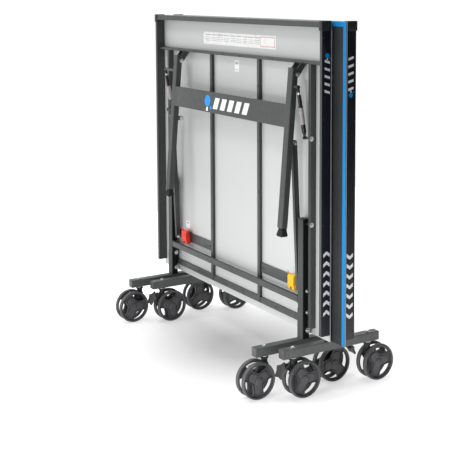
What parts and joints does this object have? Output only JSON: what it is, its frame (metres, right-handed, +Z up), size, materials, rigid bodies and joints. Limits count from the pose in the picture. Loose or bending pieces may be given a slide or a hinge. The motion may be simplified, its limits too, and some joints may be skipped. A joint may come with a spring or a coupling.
{
  "type": "folding table tennis table",
  "caption": "Rollaway outdoor table tennis table stored upright: two nested folding halves on a steel chassis with twin-wheel casters, links, gas struts and latches.",
  "frame": {"origin": "on the floor, midway between the two halves and midway across the table", "axes": "+Z up; X across the table's width; Y through the folded halves, with the underside of half A towards -Y and of half B towards +Y"},
  "size_m": [1.61, 0.744, 1.608],
  "materials": {
    "surface": "matt playing surface on a composite panel, light grey underneath",
    "apron": "satin black powder coat",
    "frame": "charcoal powder coat",
    "rubber": "matt rubber",
    "strut": "gloss black",
    "zinc": "bright zinc plate",
    "latch_yellow": "yellow moulded plastic",
    "latch_red": "red moulded plastic",
    "fork": "black moulded nylon",
    "wheel": "dark grey moulded plastic",
    "cap": "black moulded end caps and corner caps",
    "decal": "printed film marks and labels",
    "line": "painted boundary lines"
  },
  "bodies": {
    "chassis_a": {"cross_tube_a": "frame", "foot_rail_right_a": "frame", "foot_rail_left_a": "frame", "upright_right_a": "frame", "upright_left_a": "frame"},
    "top_a": {"tabletop_a": "surface", "apron_a": "apron", "table_frame_a": "frame"},
    "legs_a": {"leg_frame_a": "frame", "leg_foot_right_a": "rubber", "leg_foot_left_a": "rubber"},
    "link_right_a": {"link_right_a": "frame"},
    "strut_cylinder_right_a": {"strut_cylinder_right_a": "strut"},
    "strut_rod_right_a": {"strut_rod_right_a": "zinc"},
    "latch_right_a": {"latch_right_a": "latch_yellow"},
    "caster_outer_right_a": {"caster_fork_outer_right_a": "fork"},
    "wheels_outer_right_a": {"wheel_pair_outer_right_a": "wheel"},
    "caster_inner_right_a": {"caster_fork_inner_right_a": "fork"},
    "wheels_inner_right_a": {"wheel_pair_inner_right_a": "wheel"},
    "brake_pedal_right_a": {"brake_pedal_right_a": "fork"},
    "link_left_a": {"link_left_a": "frame"},
    "strut_cylinder_left_a": {"strut_cylinder_left_a": "strut"},
    "strut_rod_left_a": {"strut_rod_left_a": "zinc"},
    "latch_left_a": {"latch_left_a": "latch_red"},
    "caster_outer_left_a": {"caster_fork_outer_left_a": "fork"},
    "wheels_outer_left_a": {"wheel_pair_outer_left_a": "wheel"},
    "caster_inner_left_a": {"caster_fork_inner_left_a": "fork"},
    "wheels_inner_left_a": {"wheel_pair_inner_left_a": "wheel"},
    "brake_pedal_left_a": {"brake_pedal_left_a": "fork"},
    "chassis_b": {"cross_tube_b": "frame", "foot_rail_right_b": "frame", "foot_rail_left_b": "frame", "upright_right_b": "frame", "upright_left_b": "frame"},
    "top_b": {"tabletop_b": "surface", "apron_b": "apron", "table_frame_b": "frame"},
    "legs_b": {"leg_frame_b": "frame", "leg_foot_right_b": "rubber", "leg_foot_left_b": "rubber"},
    "link_right_b": {"link_right_b": "frame"},
    "strut_cylinder_right_b": {"strut_cylinder_right_b": "strut"},
    "strut_rod_right_b": {"strut_rod_right_b": "zinc"},
    "latch_right_b": {"latch_right_b": "latch_yellow"},
    "caster_outer_right_b": {"caster_fork_outer_right_b": "fork"},
    "wheels_outer_right_b": {"wheel_pair_outer_right_b": "wheel"},
    "caster_inner_right_b": {"caster_fork_inner_right_b": "fork"},
    "wheels_inner_right_b": {"wheel_pair_inner_right_b": "wheel"},
    "brake_pedal_right_b": {"brake_pedal_right_b": "fork"},
    "link_left_b": {"link_left_b": "frame"},
    "strut_cylinder_left_b": {"strut_cylinder_left_b": "strut"},
    "strut_rod_left_b": {"strut_rod_left_b": "zinc"},
    "latch_left_b": {"latch_left_b": "latch_red"},
    "caster_outer_left_b": {"caster_fork_outer_left_b": "fork"},
    "wheels_outer_left_b": {"wheel_pair_outer_left_b": "wheel"},
    "caster_inner_left_b": {"caster_fork_inner_left_b": "fork"},
    "wheels_inner_left_b": {"wheel_pair_inner_left_b": "wheel"},
    "brake_pedal_left_b": {"brake_pedal_left_b": "fork"}
  },
  "joints": [
    {"name": "fold_a", "type": "hinge", "parent": "chassis_a", "child": "top_a", "pos_m": [-0.0425, -0.034, 0.73], "axis": [1, 0, 0], "range_deg": [0, 90]},
    {"name": "leg_a", "type": "hinge", "parent": "top_a", "child": "legs_a", "pos_m": [-0.0425, -0.062, 1.377], "axis": [1, 0, 0], "range_deg": [-90, 0]},
    {"name": "link_right_a_turn", "type": "hinge", "parent": "chassis_a", "child": "link_right_a", "pos_m": [0.5235, -0.034, 0.433], "axis": [1, 0, 0], "range_deg": [0, 90]},
    {"name": "strut_right_a_turn", "type": "hinge", "parent": "top_a", "child": "strut_cylinder_right_a", "pos_m": [0.5695, -0.036, 1.105], "axis": [1, 0, 0], "range_deg": [0, 5.7]},
    {"name": "strut_right_a_stroke", "type": "slide", "parent": "strut_cylinder_right_a", "child": "strut_rod_right_a", "axis": [0, -0.1673, 0.9859], "range_m": [0, 0.07]},
    {"name": "latch_right_a_turn", "type": "hinge", "parent": "top_a", "child": "latch_right_a", "pos_m": [0.48, -0.031, 0.472], "axis": [-1, 0, 0], "range_deg": [0, 35]},
    {"name": "caster_outer_right_a_swivel", "type": "hinge", "parent": "chassis_a", "child": "caster_outer_right_a", "pos_m": [0.5675, -0.245, 0.18], "axis": [0, 0, 1], "range_deg": [-90, 30]},
    {"name": "wheels_outer_right_a_roll", "type": "hinge", "parent": "caster_outer_right_a", "child": "wheels_outer_right_a", "pos_m": [0.5675, -0.29, 0.082], "axis": [1, 0, 0], "continuous": true},
    {"name": "caster_inner_right_a_swivel", "type": "hinge", "parent": "chassis_a", "child": "caster_inner_right_a", "pos_m": [0.5675, 0.155, 0.18], "axis": [0, 0, 1], "range_deg": [-10, 90]},
    {"name": "wheels_inner_right_a_roll", "type": "hinge", "parent": "caster_inner_right_a", "child": "wheels_inner_right_a", "pos_m": [0.5675, 0.11, 0.082], "axis": [1, 0, 0], "continuous": true},
    {"name": "brake_pedal_right_a_press", "type": "hinge", "parent": "caster_inner_right_a", "child": "brake_pedal_right_a", "pos_m": [0.5675, 0.181, 0.148], "axis": [-1, 0, 0], "range_deg": [0, 20]},
    {"name": "link_left_a_turn", "type": "hinge", "parent": "chassis_a", "child": "link_left_a", "pos_m": [-0.6085, -0.034, 0.433], "axis": [1, 0, 0], "range_deg": [0, 90]},
    {"name": "strut_left_a_turn", "type": "hinge", "parent": "top_a", "child": "strut_cylinder_left_a", "pos_m": [-0.6545, -0.036, 1.105], "axis": [1, 0, 0], "range_deg": [0, 5.7]},
    {"name": "strut_left_a_stroke", "type": "slide", "parent": "strut_cylinder_left_a", "child": "strut_rod_left_a", "axis": [0, -0.1673, 0.9859], "range_m": [0, 0.07]},
    {"name": "latch_left_a_turn", "type": "hinge", "parent": "top_a", "child": "latch_left_a", "pos_m": [-0.515, -0.031, 0.472], "axis": [-1, 0, 0], "range_deg": [0, 35]},
    {"name": "caster_outer_left_a_swivel", "type": "hinge", "parent": "chassis_a", "child": "caster_outer_left_a", "pos_m": [-0.6525, -0.245, 0.18], "axis": [0, 0, 1], "range_deg": [-90, 30]},
    {"name": "wheels_outer_left_a_roll", "type": "hinge", "parent": "caster_outer_left_a", "child": "wheels_outer_left_a", "pos_m": [-0.6525, -0.29, 0.082], "axis": [1, 0, 0], "continuous": true},
    {"name": "caster_inner_left_a_swivel", "type": "hinge", "parent": "chassis_a", "child": "caster_inner_left_a", "pos_m": [-0.6525, 0.155, 0.18], "axis": [0, 0, 1], "range_deg": [-10, 90]},
    {"name": "wheels_inner_left_a_roll", "type": "hinge", "parent": "caster_inner_left_a", "child": "wheels_inner_left_a", "pos_m": [-0.6525, 0.11, 0.082], "axis": [1, 0, 0], "continuous": true},
    {"name": "brake_pedal_left_a_press", "type": "hinge", "parent": "caster_inner_left_a", "child": "brake_pedal_left_a", "pos_m": [-0.6525, 0.181, 0.148], "axis": [-1, 0, 0], "range_deg": [0, 20]},
    {"name": "part_b", "type": "slide", "parent": "chassis_a", "child": "chassis_b", "axis": [0, 1, 0], "range_m": [0, 1.5]},
    {"name": "fold_b", "type": "hinge", "parent": "chassis_b", "child": "top_b", "pos_m": [0.0425, 0.034, 0.73], "axis": [-1, 0, 0], "range_deg": [0, 90]},
    {"name": "leg_b", "type": "hinge", "parent": "top_b", "child": "legs_b", "pos_m": [0.0425, 0.062, 1.377], "axis": [-1, 0, 0], "range_deg": [-90, 0]},
    {"name": "link_right_b_turn", "type": "hinge", "parent": "chassis_b", "child": "link_right_b", "pos_m": [-0.5235, 0.034, 0.433], "axis": [-1, 0, 0], "range_deg": [0, 90]},
    {"name": "strut_right_b_turn", "type": "hinge", "parent": "top_b", "child": "strut_cylinder_right_b", "pos_m": [-0.5695, 0.036, 1.105], "axis": [-1, 0, 0], "range_deg": [0, 5.7]},
    {"name": "strut_right_b_stroke", "type": "slide", "parent": "strut_cylinder_right_b", "child": "strut_rod_right_b", "axis": [0, 0.1673, 0.9859], "range_m": [0, 0.07]},
    {"name": "latch_right_b_turn", "type": "hinge", "parent": "top_b", "child": "latch_right_b", "pos_m": [-0.48, 0.031, 0.472], "axis": [1, 0, 0], "range_deg": [0, 35]},
    {"name": "caster_outer_right_b_swivel", "type": "hinge", "parent": "chassis_b", "child": "caster_outer_right_b", "pos_m": [-0.5675, 0.245, 0.18], "axis": [0, 0, 1], "range_deg": [-90, 30]},
    {"name": "wheels_outer_right_b_roll", "type": "hinge", "parent": "caster_outer_right_b", "child": "wheels_outer_right_b", "pos_m": [-0.5675, 0.29, 0.082], "axis": [1, 0, 0], "continuous": true},
    {"name": "caster_inner_right_b_swivel", "type": "hinge", "parent": "chassis_b", "child": "caster_inner_right_b", "pos_m": [-0.5675, -0.155, 0.18], "axis": [0, 0, 1], "range_deg": [-10, 90]},
    {"name": "wheels_inner_right_b_roll", "type": "hinge", "parent": "caster_inner_right_b", "child": "wheels_inner_right_b", "pos_m": [-0.5675, -0.11, 0.082], "axis": [1, 0, 0], "continuous": true},
    {"name": "brake_pedal_right_b_press", "type": "hinge", "parent": "caster_inner_right_b", "child": "brake_pedal_right_b", "pos_m": [-0.5675, -0.181, 0.148], "axis": [1, 0, 0], "range_deg": [0, 20]},
    {"name": "link_left_b_turn", "type": "hinge", "parent": "chassis_b", "child": "link_left_b", "pos_m": [0.6085, 0.034, 0.433], "axis": [-1, 0, 0], "range_deg": [0, 90]},
    {"name": "strut_left_b_turn", "type": "hinge", "parent": "top_b", "child": "strut_cylinder_left_b", "pos_m": [0.6545, 0.036, 1.105], "axis": [-1, 0, 0], "range_deg": [0, 5.7]},
    {"name": "strut_left_b_stroke", "type": "slide", "parent": "strut_cylinder_left_b", "child": "strut_rod_left_b", "axis": [0, 0.1673, 0.9859], "range_m": [0, 0.07]},
    {"name": "latch_left_b_turn", "type": "hinge", "parent": "top_b", "child": "latch_left_b", "pos_m": [0.515, 0.031, 0.472], "axis": [1, 0, 0], "range_deg": [0, 35]},
    {"name": "caster_outer_left_b_swivel", "type": "hinge", "parent": "chassis_b", "child": "caster_outer_left_b", "pos_m": [0.6525, 0.245, 0.18], "axis": [0, 0, 1], "range_deg": [-90, 30]},
    {"name": "wheels_outer_left_b_roll", "type": "hinge", "parent": "caster_outer_left_b", "child": "wheels_outer_left_b", "pos_m": [0.6525, 0.29, 0.082], "axis": [1, 0, 0], "continuous": true},
    {"name": "caster_inner_left_b_swivel", "type": "hinge", "parent": "chassis_b", "child": "caster_inner_left_b", "pos_m": [0.6525, -0.155, 0.18], "axis": [0, 0, 1], "range_deg": [-10, 90]},
    {"name": "wheels_inner_left_b_roll", "type": "hinge", "parent": "caster_inner_left_b", "child": "wheels_inner_left_b", "pos_m": [0.6525, -0.11, 0.082], "axis": [1, 0, 0], "continuous": true},
    {"name": "brake_pedal_left_b_press", "type": "hinge", "parent": "caster_inner_left_b", "child": "brake_pedal_left_b", "pos_m": [0.6525, -0.181, 0.148], "axis": [1, 0, 0], "range_deg": [0, 20]}
  ],
  "couplings": [
    {"joint": "leg_a", "follows": "fold_a", "ratio": -1},
    {"joint": "link_right_a_turn", "follows": "fold_a", "ratio": 1},
    {"joint": "strut_right_a_turn", "follows": "fold_a", "ratio": 0.062325},
    {"joint": "strut_right_a_stroke", "follows": "fold_a", "m_per_rad": 0.04448},
    {"joint": "link_left_a_turn", "follows": "fold_a", "ratio": 1},
    {"joint": "strut_left_a_turn", "follows": "fold_a", "ratio": 0.062325},
    {"joint": "strut_left_a_stroke", "follows": "fold_a", "m_per_rad": 0.04448},
    {"joint": "part_b", "follows": "fold_a", "m_per_rad": 0.95493},
    {"joint": "fold_b", "follows": "fold_a", "ratio": 1},
    {"joint": "leg_b", "follows": "fold_a", "ratio": -1},
    {"joint": "link_right_b_turn", "follows": "fold_a", "ratio": 1},
    {"joint": "strut_right_b_turn", "follows": "fold_a", "ratio": 0.062325},
    {"joint": "strut_right_b_stroke", "follows": "fold_a", "m_per_rad": 0.04448},
    {"joint": "link_left_b_turn", "follows": "fold_a", "ratio": 1},
    {"joint": "strut_left_b_turn", "follows": "fold_a", "ratio": 0.062325},
    {"joint": "strut_left_b_stroke", "follows": "fold_a", "m_per_rad": 0.04448}
  ]
}
